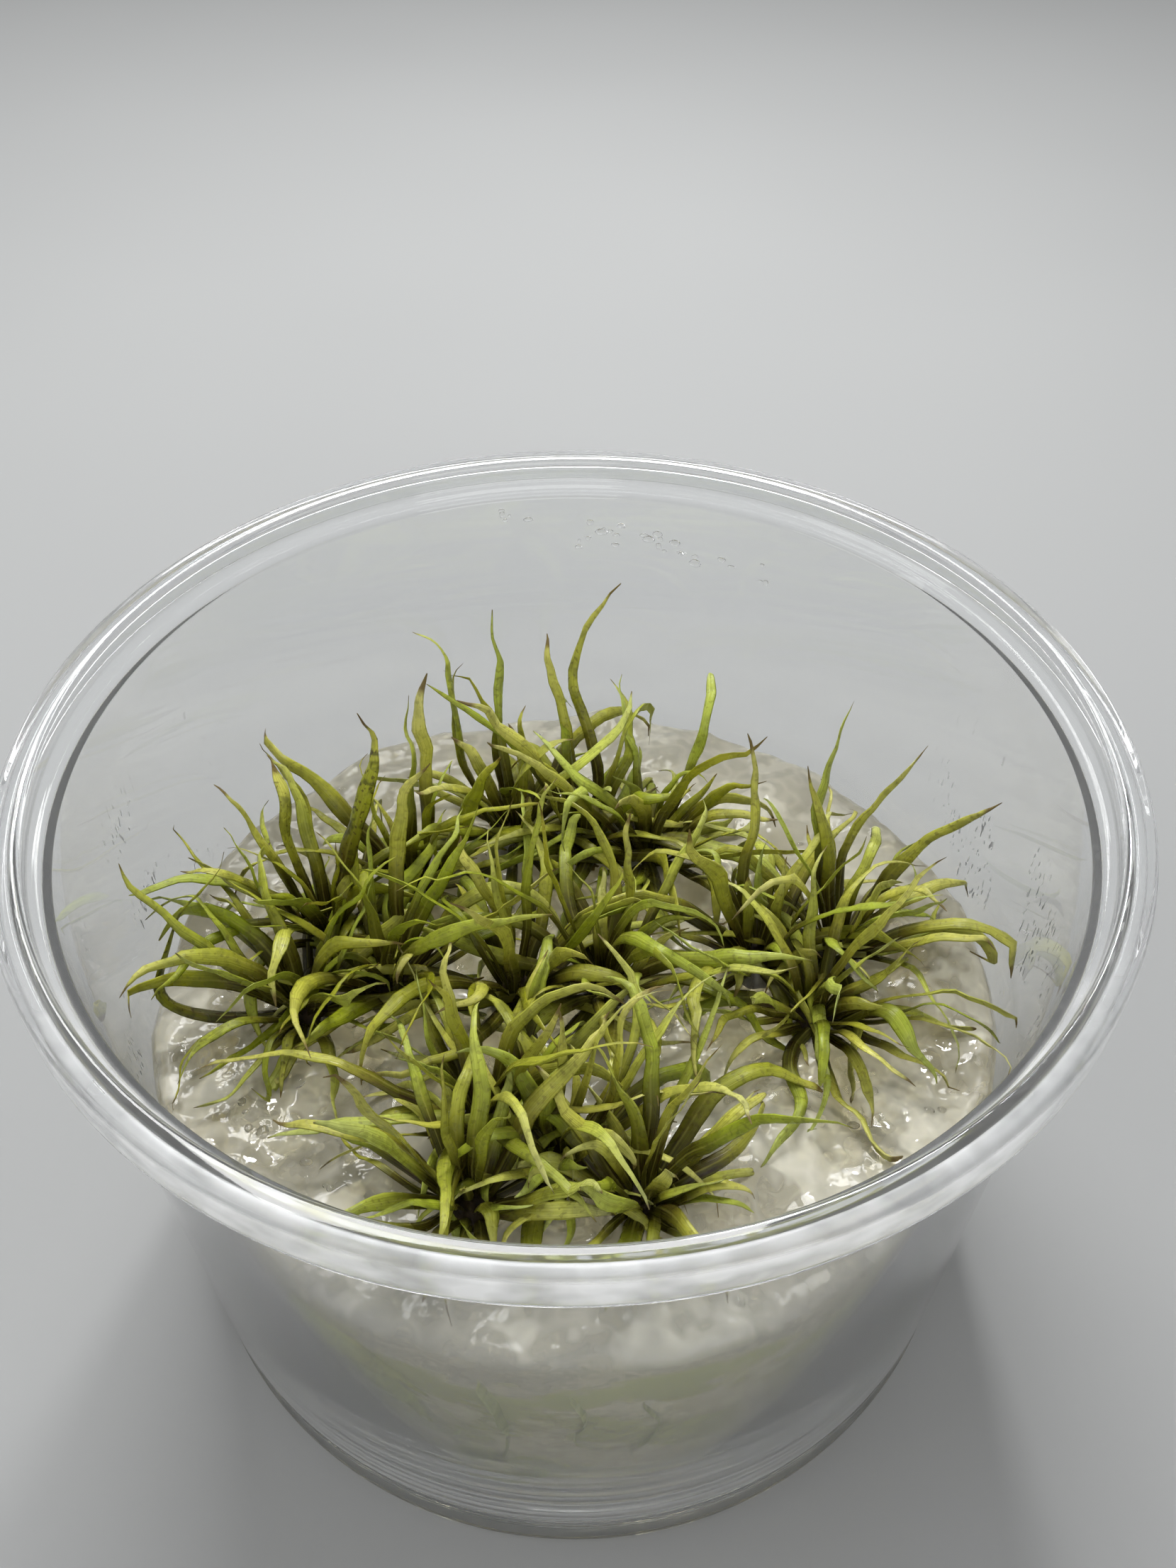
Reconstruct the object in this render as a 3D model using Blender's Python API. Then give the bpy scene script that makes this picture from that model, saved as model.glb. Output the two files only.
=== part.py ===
"""Tufts of young water plants rooted in jelly, in a clear round culture cup.

The cup stands on its foot ring at z = 0 with its axis on the Z axis.
Lengths are in millimetres until the meshes are made.
"""
import math

import bmesh
import bpy
from mathutils import Vector
from mathutils.bvhtree import BVHTree

MM = 0.001
SHARP_ANGLE = 35  # degrees between faces that keep a crease

# Cup
CUP_HEIGHT = 69.0
RIM_RADIUS = 50.0
RIM_ROUNDING = 0.7
SKIRT_DROP = 3.7
SKIRT_WALL = 0.8
WALL = 1.1
MOUTH_RADIUS = 45.6
FLOOR_RADIUS = 43.2
FLOOR_TOP = 2.6
FLOOR_CORNER = ((2.4, 0.0), (0.7, 0.6))  # in from the wall, up from the floor
WALL_START = 4.4
STEP_HEIGHT = 65.4
STEP_WIDTH = 1.5
STEP_RISE = 1.1
STEP_DRAFT = 0.15
FLANGE = 1.3
FOOT_RADIUS = 44.5
FOOT_RING = 2.6
FOOT_GROOVE = 0.6
FOOT_WIDTH = 3.0
FOOT_ROUNDING = 0.6
FOOT_RECESS = 0.8
CUP_SIDES = 44

# Jelly
GEL_RADIUS = 43.4
GEL_LEVEL = 37.7
GEL_SLOPE = 3.1
GEL_GAP = 0.35
GEL_EDGE = 1.4
GEL_EDGE_DROP = 1.5
GEL_FOOT = ((0.3, 3.0), (1.4, 0.9), (3.0, 0.0))  # in from the floor's edge, up from the floor
GEL_RING_PITCH = 8.4
GEL_SIDES = 32
SWELL = 0.7
SWELL_WAVES = (0.20, 0.17)  # radians per millimetre across and along the cup
SWELL_SHIFTS = (0.6, -0.4)
RIPPLE = 0.3
RIPPLE_WAVES = (0.36, -0.31)
RIPPLE_SHIFT = 1.1

# Crowns, the short stocks that the leaves grow from
CROWN_PROFILE = ((1.5, -3.8), (2.5, -1.6), (2.8, 0.4), (2.2, 2.2))
CROWN_TOP = 3.0
CROWN_BOTTOM = -4.4
CROWN_SIDES = 7
POCKET_GAP = 0.35
POCKET_TOP = 6.0

# Leaves
OUTER_STEPS = (0.0, 0.2, 0.42, 0.64, 0.84)
LEAF_BASE_WIDTH = 0.62
LEAF_BROADEST = 0.4
LEAF_BEND = 0.45
LEAF_THICKNESS = 0.5
LEAF_TIP_THINNING = 0.5
LEAF_FOLD = 0.38
LEAF_START = 3.5
LEAF_START_HEIGHT = 1.5
CLEAR_OF_GEL = 1.2
CLEAR_OF_WALL = 1.3
LEAF_CLEARANCE = 0.4

# Heart leaves, the short ones that grow from the stock itself
HEART_STEPS = (0.0, 0.36, 0.72)
HEART_LEAVES = 6
HEART_TURN = 2.39996  # the golden angle
HEART_TURN_SCATTER = 0.3
HEART_LEAN = 8.0
HEART_LEAN_STEP = 5.5
HEART_LEAN_SCATTER = 4.0
HEART_LENGTH = (13.0, 20.0)
HEART_WIDTH = (1.8, 2.3)
HEART_ARCH = 0.08
HEART_START = 0.8
HEART_TIP_LIFT = 2.0

# Where each plantlet stands, seen from above
ROSETTES = {
    "back_1": (-7, 19),
    "back_2": (1, 18),
    "back_3": (8, 16),
    "left_1": (-27, -7),
    "left_2": (-19, -4),
    "left_3": (-26, 3),
    "left_4": (-18, 11),
    "centre_1": (-6, -5),
    "centre_2": (3, -4),
    "right_1": (19, 0),
    "right_2": (27, 1),
    "right_3": (24, -8),
    "front_1": (-9, -29),
    "front_2": (-1, -25),
    "front_3": (6, -29),
    "front_4": (-8, -21),
}

# The long outer leaves: plantlet, tip, how far the middle arches, width.
# A curled leaf has the point that bends it in place of an arch.
OUTER_LEAVES = (
    ("back_1", (-18, 29, 60), 2.0, 2.0),
    ("back_1", (-9, 31, 60), 1.0, 1.9),
    ("back_1", (-19, 20, 45), 4.0, 1.8),
    ("back_2", (-3, 31, 58), 1.5, 1.9),
    ("back_2", (5, 32, 62), 1.0, 2.1),
    ("back_2", (-3, 9, 54), 3.0, 1.9),
    ("back_3", (15, 29, 54), 4.0, 2.0),
    ("back_3", (22, 15, 44), 3.5, 1.9),
    ("back_3", (23, 6, 46), 3.5, 1.7),
    ("left_1", (-42, -2, 48), 5.0, 1.9),
    ("left_1", (-33, -1, 56), (-52, -14, 44), 2.3),
    ("left_1", (-37, -18, 42), 4.0, 2.0),
    ("left_1", (-28, -18, 40), 2.5, 1.7),
    ("left_2", (-16, -11, 49), 4.0, 2.1),
    ("left_2", (-14, 7, 60), 2.0, 2.1),
    ("left_3", (-21, 12, 62), 2.0, 2.7),
    ("left_3", (-30, 10, 58), 3.0, 2.3),
    ("left_3", (-36, 7, 57), 2.0, 1.9),
    ("left_3", (-39, 1, 51), 5.0, 1.8),
    ("left_4", (-15, 19, 62), 0.5, 2.7),
    ("centre_1", (-12, 5, 52), 3.0, 2.0),
    ("centre_1", (-13, -14, 49), 3.5, 2.1),
    ("centre_1", (-5, -18, 45), 4.0, 2.1),
    ("centre_2", (6, 4, 56), 2.0, 2.0),
    ("centre_2", (11, -7, 52), 3.0, 2.0),
    ("centre_2", (7, -15, 50), 3.5, 2.0),
    ("right_1", (17, 14, 58), 1.5, 2.0),
    ("right_1", (11, 7, 47), 4.0, 1.9),
    ("right_2", (28, 15, 61), 1.5, 2.2),
    ("right_2", (36, 13, 56), 3.0, 2.0),
    ("right_2", (42, 6, 56), 1.0, 2.1),
    ("right_2", (41, -5, 46), 3.0, 2.1),
    ("right_3", (34, -17, 41), 4.0, 2.3),
    ("right_3", (27, -22, 40), 2.0, 2.1),
    ("right_3", (17, -26, 40), 1.5, 2.3),
    ("front_4", (-34, -19, 46), 4.0, 2.1),
    ("front_1", (-26, -25, 48), 3.0, 2.1),
    ("front_1", (-24, -35, 43), 3.0, 2.0),
    ("front_3", (15, -31, 44), 3.0, 2.3),
    ("front_3", (17, -22, 48), 3.0, 2.1),
    ("front_2", (-1, -21, 58), 1.0, 2.1),
    ("front_2", (8, -17, 56), 3.0, 2.1),
)


def make_material(name, colour, roughness, transmission=0.0, ior=1.45):
    material = bpy.data.materials.new(name)
    material.use_nodes = True
    shader = material.node_tree.nodes["Principled BSDF"]
    shader.inputs["Base Color"].default_value = (*colour, 1.0)
    shader.inputs["Roughness"].default_value = roughness
    shader.inputs["Metallic"].default_value = 0.0
    shader.inputs["Transmission Weight"].default_value = transmission
    shader.inputs["IOR"].default_value = ior
    material.diffuse_color = (*colour, 1.0)
    return material


def add_object(name, points, faces, material, place=(0.0, 0.0, 0.0)):
    """Make a named object from millimetre points given relative to its place."""
    mesh = bpy.data.meshes.new(name)
    mesh.from_pydata([Vector(point) * MM for point in points], [], faces)
    mesh.materials.append(material)
    mesh.validate()
    mesh.shade_smooth()
    mesh.set_sharp_from_angle(angle=math.radians(SHARP_ANGLE))
    made = bpy.data.objects.new(name, mesh)
    made.location = Vector(place) * MM
    bpy.context.collection.objects.link(made)
    return made


def spin_profile(profile, sides):
    """Turn an open profile into a closed solid.

    The profile runs down the outer side, and its first and last points lie
    on the axis.
    """
    points = [(0.0, 0.0, profile[0][1])]
    for radius, level in profile[1:-1]:
        for side in range(sides):
            turn = 2 * math.pi * side / sides
            points.append((radius * math.cos(turn), radius * math.sin(turn), level))
    points.append((0.0, 0.0, profile[-1][1]))
    last = len(points) - 1
    faces = []
    for side in range(sides):
        following = (side + 1) % sides
        faces.append((0, 1 + side, 1 + following))
        for ring in range(len(profile) - 3):
            upper = 1 + ring * sides
            lower = upper + sides
            faces.append((upper + side, lower + side, lower + following, upper + following))
        ring_start = last - sides
        faces.append((ring_start + side, last, ring_start + following))
    return points, faces


def cup_inner_radius(level):
    """Radius of the cup's inner wall at a height above the floor corner."""
    share = (level - WALL_START) / (STEP_HEIGHT - WALL_START)
    return FLOOR_RADIUS + share * (MOUTH_RADIUS - FLOOR_RADIUS)


def gel_top(x, y):
    """Height of the jelly's surface, which slopes up to the front in low swells."""
    across = SWELL_WAVES[0] * x + SWELL_SHIFTS[0]
    along = SWELL_WAVES[1] * y + SWELL_SHIFTS[1]
    swell = SWELL * math.sin(across) * math.cos(along)
    ripple = RIPPLE * math.sin(RIPPLE_WAVES[0] * x + RIPPLE_WAVES[1] * y + RIPPLE_SHIFT)
    return GEL_LEVEL - GEL_SLOPE * y / GEL_RADIUS + swell + ripple


def make_cup(material):
    step_inner = MOUTH_RADIUS + STEP_WIDTH
    skirt_inner = RIM_RADIUS - SKIRT_WALL
    skirt_bottom = CUP_HEIGHT - SKIRT_DROP
    under_flange = CUP_HEIGHT - FLANGE
    rim_start = CUP_HEIGHT - RIM_ROUNDING
    profile = [(0.0, FLOOR_TOP)]
    profile += [(FLOOR_RADIUS - inward, FLOOR_TOP + up) for inward, up in FLOOR_CORNER]
    profile += [
        (FLOOR_RADIUS, WALL_START),
        (MOUTH_RADIUS, STEP_HEIGHT),
        (step_inner, STEP_HEIGHT + STEP_RISE),
        (step_inner + STEP_DRAFT, rim_start),
        (step_inner + STEP_DRAFT + RIM_ROUNDING, CUP_HEIGHT),
        (RIM_RADIUS - RIM_ROUNDING, CUP_HEIGHT),
        (RIM_RADIUS, rim_start),
        (RIM_RADIUS, skirt_bottom),
        (skirt_inner, skirt_bottom),
        (skirt_inner, under_flange),
        (step_inner + WALL, under_flange),
        (step_inner + WALL, STEP_HEIGHT + 0.5 * STEP_RISE),
        (MOUTH_RADIUS + WALL, STEP_HEIGHT - 0.5 * STEP_RISE),
        (FOOT_RADIUS, FOOT_RING + 2.0 * FOOT_GROOVE),
        (FOOT_RADIUS - FOOT_GROOVE, FOOT_RING),
        (FOOT_RADIUS, FOOT_RING - FOOT_GROOVE),
        (FOOT_RADIUS, FOOT_ROUNDING),
        (FOOT_RADIUS - FOOT_ROUNDING, 0.0),
        (FOOT_RADIUS - FOOT_WIDTH, 0.0),
        (FOOT_RADIUS - FOOT_WIDTH - FOOT_ROUNDING, FOOT_RECESS),
        (0.0, FOOT_RECESS),
    ]
    points, faces = spin_profile(profile, CUP_SIDES)
    return add_object("cup", points, faces, material)


def crown_solid(base):
    """A plantlet's stock, standing at its base point."""
    profile = [(0.0, CROWN_TOP)]
    profile += reversed(CROWN_PROFILE)
    profile.append((0.0, CROWN_BOTTOM))
    points, faces = spin_profile(profile, CROWN_SIDES)
    return [Vector(point) + Vector(base) for point in points], faces


def pocket_solid(base):
    """The room for a stock in the jelly, open upwards."""
    profile = [(0.0, POCKET_TOP), (CROWN_PROFILE[-2][0] + POCKET_GAP, POCKET_TOP)]
    profile += [(radius + POCKET_GAP, level) for radius, level in reversed(CROWN_PROFILE[:-1])]
    profile.append((0.0, CROWN_BOTTOM - POCKET_GAP))
    points, faces = spin_profile(profile, CROWN_SIDES)
    return [Vector(point) + Vector(base) for point in points], faces


def make_gel(material):
    rings = int(GEL_RADIUS / GEL_RING_PITCH)
    radii = [GEL_RING_PITCH * ring for ring in range(rings)] + [GEL_RADIUS - GEL_EDGE, GEL_RADIUS]
    profile = [(radius, GEL_LEVEL) for radius in radii]
    bottom = FLOOR_TOP + GEL_GAP
    profile += [(FLOOR_RADIUS - GEL_GAP - inward, bottom + up) for inward, up in GEL_FOOT]
    profile.append((0.0, bottom))
    points, faces = spin_profile(profile, GEL_SIDES)
    on_top = 1 + (len(radii) - 1) * GEL_SIDES
    for index in range(on_top):
        x, y, _ = points[index]
        drop = GEL_EDGE_DROP if index >= on_top - GEL_SIDES else 0.0
        points[index] = (x, y, gel_top(x, y) - drop)
    gel = add_object("gel", points, faces, material)
    pockets = bmesh.new()
    for x, y in ROSETTES.values():
        pocket_points, pocket_faces = pocket_solid((x, y, gel_top(x, y)))
        corners = [pockets.verts.new(point * MM) for point in pocket_points]
        for face in pocket_faces:
            pockets.faces.new([corners[corner] for corner in face])
    cutter_mesh = bpy.data.meshes.new("pockets")
    pockets.to_mesh(cutter_mesh)
    pockets.free()
    cutter = bpy.data.objects.new("pockets", cutter_mesh)
    bpy.context.collection.objects.link(cutter)
    apply_boolean(gel, cutter, "DIFFERENCE", False)
    return gel


def apply_boolean(target, tool, operation, crossing):
    """Cut or join the tool into the target's mesh and remove the tool."""
    modifier = target.modifiers.new("shape", "BOOLEAN")
    modifier.operation = operation
    modifier.solver = "EXACT"
    modifier.use_self = crossing
    modifier.object = tool
    bpy.context.view_layer.update()
    depsgraph = bpy.context.evaluated_depsgraph_get()
    shaped = bpy.data.meshes.new_from_object(target.evaluated_get(depsgraph))
    target.modifiers.remove(modifier)
    target.data = shaped
    bpy.data.objects.remove(tool)


def bend_point(start, tip, arch):
    """The point that pulls a leaf's middle up, given as an arch or as itself."""
    if isinstance(arch, tuple):
        return Vector(arch)
    bend = Vector(start).lerp(Vector(tip), LEAF_BEND)
    bend.z += 2.0 * arch
    return bend


def leaf_spine(start, tip, arch, steps):
    """Points along a leaf: it leaves steeply, arches and stays off jelly and wall."""
    start = Vector(start)
    tip = Vector(tip)
    bend = bend_point(start, tip, arch)
    spine = []
    for share in steps + (1.0,):
        rest = 1.0 - share
        point = rest * rest * start + 2.0 * rest * share * bend + share * share * tip
        point.z = max(point.z, gel_top(point.x, point.y) + CLEAR_OF_GEL)
        reach = math.hypot(point.x, point.y)
        limit = cup_inner_radius(point.z) - CLEAR_OF_WALL
        if reach > limit:
            point.x *= limit / reach
            point.y *= limit / reach
        spine.append(point)
    return spine


def leaf_width(share):
    """Width along a leaf as a share of the broadest, which lies below its middle."""
    if share < LEAF_BROADEST:
        widening = math.sin(0.5 * math.pi * share / LEAF_BROADEST)
        return LEAF_BASE_WIDTH + (1.0 - LEAF_BASE_WIDTH) * widening
    return math.cos(0.5 * math.pi * (share - LEAF_BROADEST) / (1.0 - LEAF_BROADEST))


def leaf_solid(spine, width, steps):
    """A pointed leaf with a shallow channel along its upper face.

    It starts level across, and bends along its spine without twisting.
    """
    points = []
    count = len(steps)
    across = (spine[1] - spine[0]).cross(Vector((0.0, 0.0, 1.0)))
    for index in range(count):
        before = spine[max(index - 1, 0)]
        ahead = (spine[index + 1] - before).normalized()
        across = (across - ahead * ahead.dot(across)).normalized()
        up = across.cross(ahead)
        half = 0.5 * width * leaf_width(steps[index])
        thick = 0.5 * LEAF_THICKNESS * (1.0 - LEAF_TIP_THINNING * steps[index])
        edge = up * (LEAF_FOLD * half)
        centre = spine[index]
        points += [
            centre - across * half + edge,
            centre - up * thick,
            centre + across * half + edge,
            centre + up * thick,
        ]
    points.append(spine[-1])
    faces = [(1, 2, 3), (0, 1, 3)]
    for index in range(count - 1):
        near = 4 * index
        for corner in range(4):
            first = near + corner
            second = near + (corner + 1) % 4
            faces.append((first, first + 4, second + 4))
            faces.append((first, second + 4, second))
    near = 4 * (count - 1)
    for corner in range(4):
        faces.append((near + corner, 4 * count, near + (corner + 1) % 4))
    return points, faces


def outer_leaf(rosette, tip, arch, width):
    """The solid of a long leaf that starts just outside its plantlet's stock."""
    x, y = ROSETTES[rosette]
    aim = arch if isinstance(arch, tuple) else tip
    heading = math.atan2(aim[1] - y, aim[0] - x)
    start = (
        x + LEAF_START * math.cos(heading),
        y + LEAF_START * math.sin(heading),
        gel_top(x, y) + LEAF_START_HEIGHT,
    )
    return leaf_solid(leaf_spine(start, tip, arch, OUTER_STEPS), width, OUTER_STEPS)


def spread(seed, low, high):
    """An even scatter between low and high that is the same for each seed."""
    value = math.sin(seed * 12.9898 + 4.1414) * 43758.5453
    return low + (value - math.floor(value)) * (high - low)


def heart_leaf(rosette, number):
    """A short leaf in the heart of a plantlet, turned on by the golden angle."""
    x, y = ROSETTES[rosette]
    seed = number + 31 * list(ROSETTES).index(rosette)
    heading = HEART_TURN * number + spread(seed, -HEART_TURN_SCATTER, HEART_TURN_SCATTER)
    scatter = spread(seed + 0.3, -HEART_LEAN_SCATTER, HEART_LEAN_SCATTER)
    lean = math.radians(HEART_LEAN + HEART_LEAN_STEP * number + scatter)
    length = spread(seed + 0.6, *HEART_LENGTH)
    ground = gel_top(x, y)
    start = (x, y, ground + HEART_START)
    tip = (
        x + length * math.sin(lean) * math.cos(heading),
        y + length * math.sin(lean) * math.sin(heading),
        ground + HEART_TIP_LIFT + length * math.cos(lean),
    )
    spine = leaf_spine(start, tip, HEART_ARCH * length, HEART_STEPS)
    return leaf_solid(spine, spread(seed + 0.8, *HEART_WIDTH), HEART_STEPS)


def is_clear(points, faces, neighbours):
    """True where a solid keeps its clearance to every neighbour."""
    tree = BVHTree.FromPolygons(points, faces)
    probes = list(points)
    for face in faces:
        corners = [points[corner] for corner in face]
        probes.append(sum(corners, Vector()) / len(corners))
        for first, second in zip(corners, corners[1:] + corners[:1]):
            probes.append((first + second) / 2)
    for other in neighbours:
        if tree.overlap(other):
            return False
        if any(other.find_nearest(probe, LEAF_CLEARANCE)[0] for probe in probes):
            return False
    return True


def make_plantlet(rosette, material, standing):
    """A stock with the heart leaves that have room between its neighbours."""
    x, y = ROSETTES[rosette]
    base = Vector((x, y, gel_top(x, y)))
    crown_points, crown_faces = crown_solid(base)
    neighbours = [tree for owner, tree in standing if owner != rosette]
    grown_points = []
    grown_faces = []
    for number in range(HEART_LEAVES):
        points, faces = heart_leaf(rosette, number)
        if not is_clear(points, faces, neighbours):
            continue
        offset = len(grown_points)
        grown_points += points
        grown_faces += [tuple(offset + corner for corner in face) for face in faces]
    leaves = add_object("heart", [point - base for point in grown_points], grown_faces, material, base)
    local = [point - base for point in crown_points]
    plantlet = add_object("plantlet_" + rosette, local, crown_faces, material, base)
    apply_boolean(plantlet, leaves, "UNION", True)
    standing.append((rosette, BVHTree.FromPolygons(grown_points, grown_faces)))
    standing.append((rosette, BVHTree.FromPolygons(crown_points, crown_faces)))
    return plantlet


def main():
    for existing in list(bpy.data.objects):
        bpy.data.objects.remove(existing)
    clear_plastic = make_material("clear_plastic", (0.93, 0.95, 0.96), 0.06, 1.0, 1.49)
    jelly = make_material("jelly", (0.85, 0.83, 0.74), 0.12, 0.9, 1.34)
    young_leaf = make_material("young_leaf", (0.26, 0.34, 0.07), 0.4)
    heart_skin = make_material("heart_leaf", (0.20, 0.24, 0.06), 0.45)
    plant = bpy.data.objects.new("plants_in_cup", None)
    bpy.context.collection.objects.link(plant)
    pieces = [make_cup(clear_plastic), make_gel(jelly)]
    standing = []
    numbers = dict.fromkeys(ROSETTES, 0)
    for rosette, tip, arch, width in OUTER_LEAVES:
        points, faces = outer_leaf(rosette, tip, arch, width)
        standing.append((None, BVHTree.FromPolygons(points, faces)))
        numbers[rosette] += 1
        place = points[1]
        name = f"leaf_{rosette}_{numbers[rosette]}"
        pieces.append(add_object(name, [point - place for point in points], faces, young_leaf, place))
    for rosette in ROSETTES:
        pieces.append(make_plantlet(rosette, heart_skin, standing))
    for piece in pieces:
        piece.parent = plant


main()
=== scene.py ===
# Young water plants rooted in jelly, in a clear culture cup.
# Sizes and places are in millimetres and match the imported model's.
import math

import bmesh
import bpy
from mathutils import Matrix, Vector


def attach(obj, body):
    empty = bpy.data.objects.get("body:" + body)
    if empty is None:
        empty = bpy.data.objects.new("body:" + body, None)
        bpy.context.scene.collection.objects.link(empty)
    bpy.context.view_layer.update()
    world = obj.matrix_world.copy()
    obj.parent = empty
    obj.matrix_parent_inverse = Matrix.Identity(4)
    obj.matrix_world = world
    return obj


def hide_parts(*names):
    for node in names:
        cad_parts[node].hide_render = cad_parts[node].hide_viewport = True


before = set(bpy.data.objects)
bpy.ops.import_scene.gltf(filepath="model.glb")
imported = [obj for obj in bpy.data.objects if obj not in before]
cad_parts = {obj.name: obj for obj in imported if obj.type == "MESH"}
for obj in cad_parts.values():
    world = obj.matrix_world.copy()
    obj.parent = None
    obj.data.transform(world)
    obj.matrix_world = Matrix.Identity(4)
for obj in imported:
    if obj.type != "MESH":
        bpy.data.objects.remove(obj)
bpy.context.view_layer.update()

mm = 0.001
goldenAngle = 2.39996


# Shader and geometry expressions

class Wire:  # a socket that can be used in sums as if it were a number
    def __init__(self, graph, socket):
        self.graph = graph
        self.socket = socket

    def sum(self, operation, first, second=0.0, clamp=False):
        return self.graph.node("ShaderNodeMath", {"operation": operation, "use_clamp": clamp},
                               {0: first, 1: second})

    def __add__(self, other):
        return self.sum("ADD", self, other)

    def __sub__(self, other):
        return self.sum("SUBTRACT", self, other)

    def __rsub__(self, other):
        return self.sum("SUBTRACT", other, self)

    def __mul__(self, other):
        return self.sum("MULTIPLY", self, other)

    def clamped(self):
        return self.sum("ADD", self, 0.0, clamp=True)

    def above(self, limit, soft):  # 0 below limit, 1 above limit + soft
        return self.sum("DIVIDE", self - limit, soft, clamp=True)

    def size(self):
        return self.sum("ABSOLUTE", self)

    def wave(self):
        return self.sum("SINE", self)

    __radd__ = __add__
    __rmul__ = __mul__


class Graph:  # a node tree, with one method that adds any node
    def __init__(self, tree):
        self.tree = tree

    def node(self, kind, settings=None, inputs=None, out=0):
        made = self.tree.nodes.new(kind)
        for name, value in (settings or {}).items():
            if name == "stops":
                self.setStops(made.color_ramp, value)
            else:
                setattr(made, name, value)
        for name, value in (inputs or {}).items():
            if isinstance(value, Wire):
                self.tree.links.new(value.socket, made.inputs[name])
            else:
                made.inputs[name].default_value = value
        return Wire(self, made.outputs[out])

    def setStops(self, ramp, stops):
        while len(ramp.elements) > 1:
            ramp.elements.remove(ramp.elements[0])
        for index, (place, colour) in enumerate(stops):
            stop = ramp.elements[0] if index == 0 else ramp.elements.new(place)
            stop.position = place
            stop.color = (*colour, 1.0)

    def value(self, name):
        return self.node("ShaderNodeAttribute", {"attribute_name": name}, out="Fac")

    def part(self, vector, axis):
        return self.node("ShaderNodeSeparateXYZ", {}, {0: vector}, out=axis)

    def ramp(self, factor, stops):
        return self.node("ShaderNodeValToRGB", {"stops": stops}, {"Fac": factor})

    def mix(self, factor, first, second, blend="MIX"):
        settings = {"data_type": "RGBA", "blend_type": blend, "clamp_factor": True}
        return self.node("ShaderNodeMix", settings, {0: factor, 6: first, 7: second}, out=2)

    def noise(self, place, scale, detail=2.0, roughness=0.5):
        inputs = {"Vector": place, "Scale": scale, "Detail": detail, "Roughness": roughness}
        return self.node("ShaderNodeTexNoise", {}, inputs)

    def stretched(self, place, scale):
        return self.node("ShaderNodeMapping", {}, {"Vector": place, "Scale": scale})

    def bump(self, height, strength, distance):
        inputs = {"Height": height, "Strength": strength, "Distance": distance}
        return self.node("ShaderNodeBump", {}, inputs)


def setFixed(shader, fixed):  # constants go straight on the shader's own sockets
    for socket, value in fixed.items():
        shader.inputs[socket].default_value = value


def newMaterial(name, fixed):
    made = bpy.data.materials.new(name)
    made.use_nodes = True
    shader = made.node_tree.nodes["Principled BSDF"]
    setFixed(shader, fixed)
    graph = Graph(made.node_tree)
    place = graph.node("ShaderNodeTexCoord", out="Object")
    return made, graph, shader, place


def secondShader(graph, fixed):
    made = graph.tree.nodes.new("ShaderNodeBsdfPrincipled")
    setFixed(made, fixed)
    return made


def feed(graph, shader, **wires):
    sockets = {"colour": "Base Color", "roughness": "Roughness", "normal": "Normal"}
    for name, wire in wires.items():
        graph.tree.links.new(wire.socket, shader.inputs[sockets[name]])


def absorb(graph, colour, density):
    volume = graph.tree.nodes.new("ShaderNodeVolumeAbsorption")
    volume.inputs["Color"].default_value = (*colour, 1.0)
    volume.inputs["Density"].default_value = density
    output = graph.tree.nodes["Material Output"]
    graph.tree.links.new(volume.outputs[0], output.inputs["Volume"])


def overlay(graph, under, over, share):  # the second shader covers a share of the first
    blend = graph.tree.nodes.new("ShaderNodeMixShader")
    graph.tree.links.new(share.socket, blend.inputs[0])
    graph.tree.links.new(under.outputs[0], blend.inputs[1])
    graph.tree.links.new(over.outputs[0], blend.inputs[2])
    graph.tree.links.new(blend.outputs[0], graph.tree.nodes["Material Output"].inputs["Surface"])


# Shapes shared by the pieces

cup = {
    "height": 69.0,
    "rim": 50.0,
    "skirtDrop": 3.7,
    "skirtWall": 0.8,
    "wall": 1.1,
    "mouth": 45.6,
    "floorRadius": 43.2,
    "floorTop": 2.6,
    "wallStart": 4.4,
    "stepHeight": 65.4,
    "stepWidth": 1.5,
    "flange": 1.3,
    "foot": 44.5,
    "footRing": 2.6,
    "recess": 0.8,
    "sides": 240,
}

gel = {
    "radius": 43.4,
    "level": 37.7,
    "slope": 3.1,
    "swell": (0.7, 0.20, 0.6, 0.17, -0.4),   # height, then pace and shift across and along
    "ripple": (0.3, 0.36, 0.31, 1.1),
    "lump": 0.45,
    "fineLump": 0.20,
    "climb": (1.3, 3.2),                     # height and reach at each stock
    "moat": (0.5, 5.5, 1.8),                 # depth, distance and width round it
    "edge": (2.2, 1.5),                      # width and drop of the soft edge
    "rings": 64,
    "crowding": 0.9,                         # brings the rings closer near the edge
    "sides": 200,
    "bottom": 2.95,
    "sideLevels": (32.0, 28.0, 24.0, 19.0),
    "sideSlope": 0.012,
    "sideTop": 36.0,
    "bulges": (0.10, 0.07),
    "bulgeFade": 6.0,
}

rosettes = {
    "back_1": (-7, 19),
    "back_2": (1, 18),
    "back_3": (8, 16),
    "left_1": (-27, -7),
    "left_2": (-19, -4),
    "left_3": (-26, 3),
    "left_4": (-18, 11),
    "centre_1": (-6, -5),
    "centre_2": (3, -4),
    "right_1": (19, 0),
    "right_2": (27, 1),
    "right_3": (24, -8),
    "front_1": (-9, -29),
    "front_2": (-1, -25),
    "front_3": (6, -29),
    "front_4": (-8, -21),
}


def innerRadius(level):
    share = (level - cup["wallStart"]) / (cup["stepHeight"] - cup["wallStart"])
    return cup["floorRadius"] + share * (cup["mouth"] - cup["floorRadius"])


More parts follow.
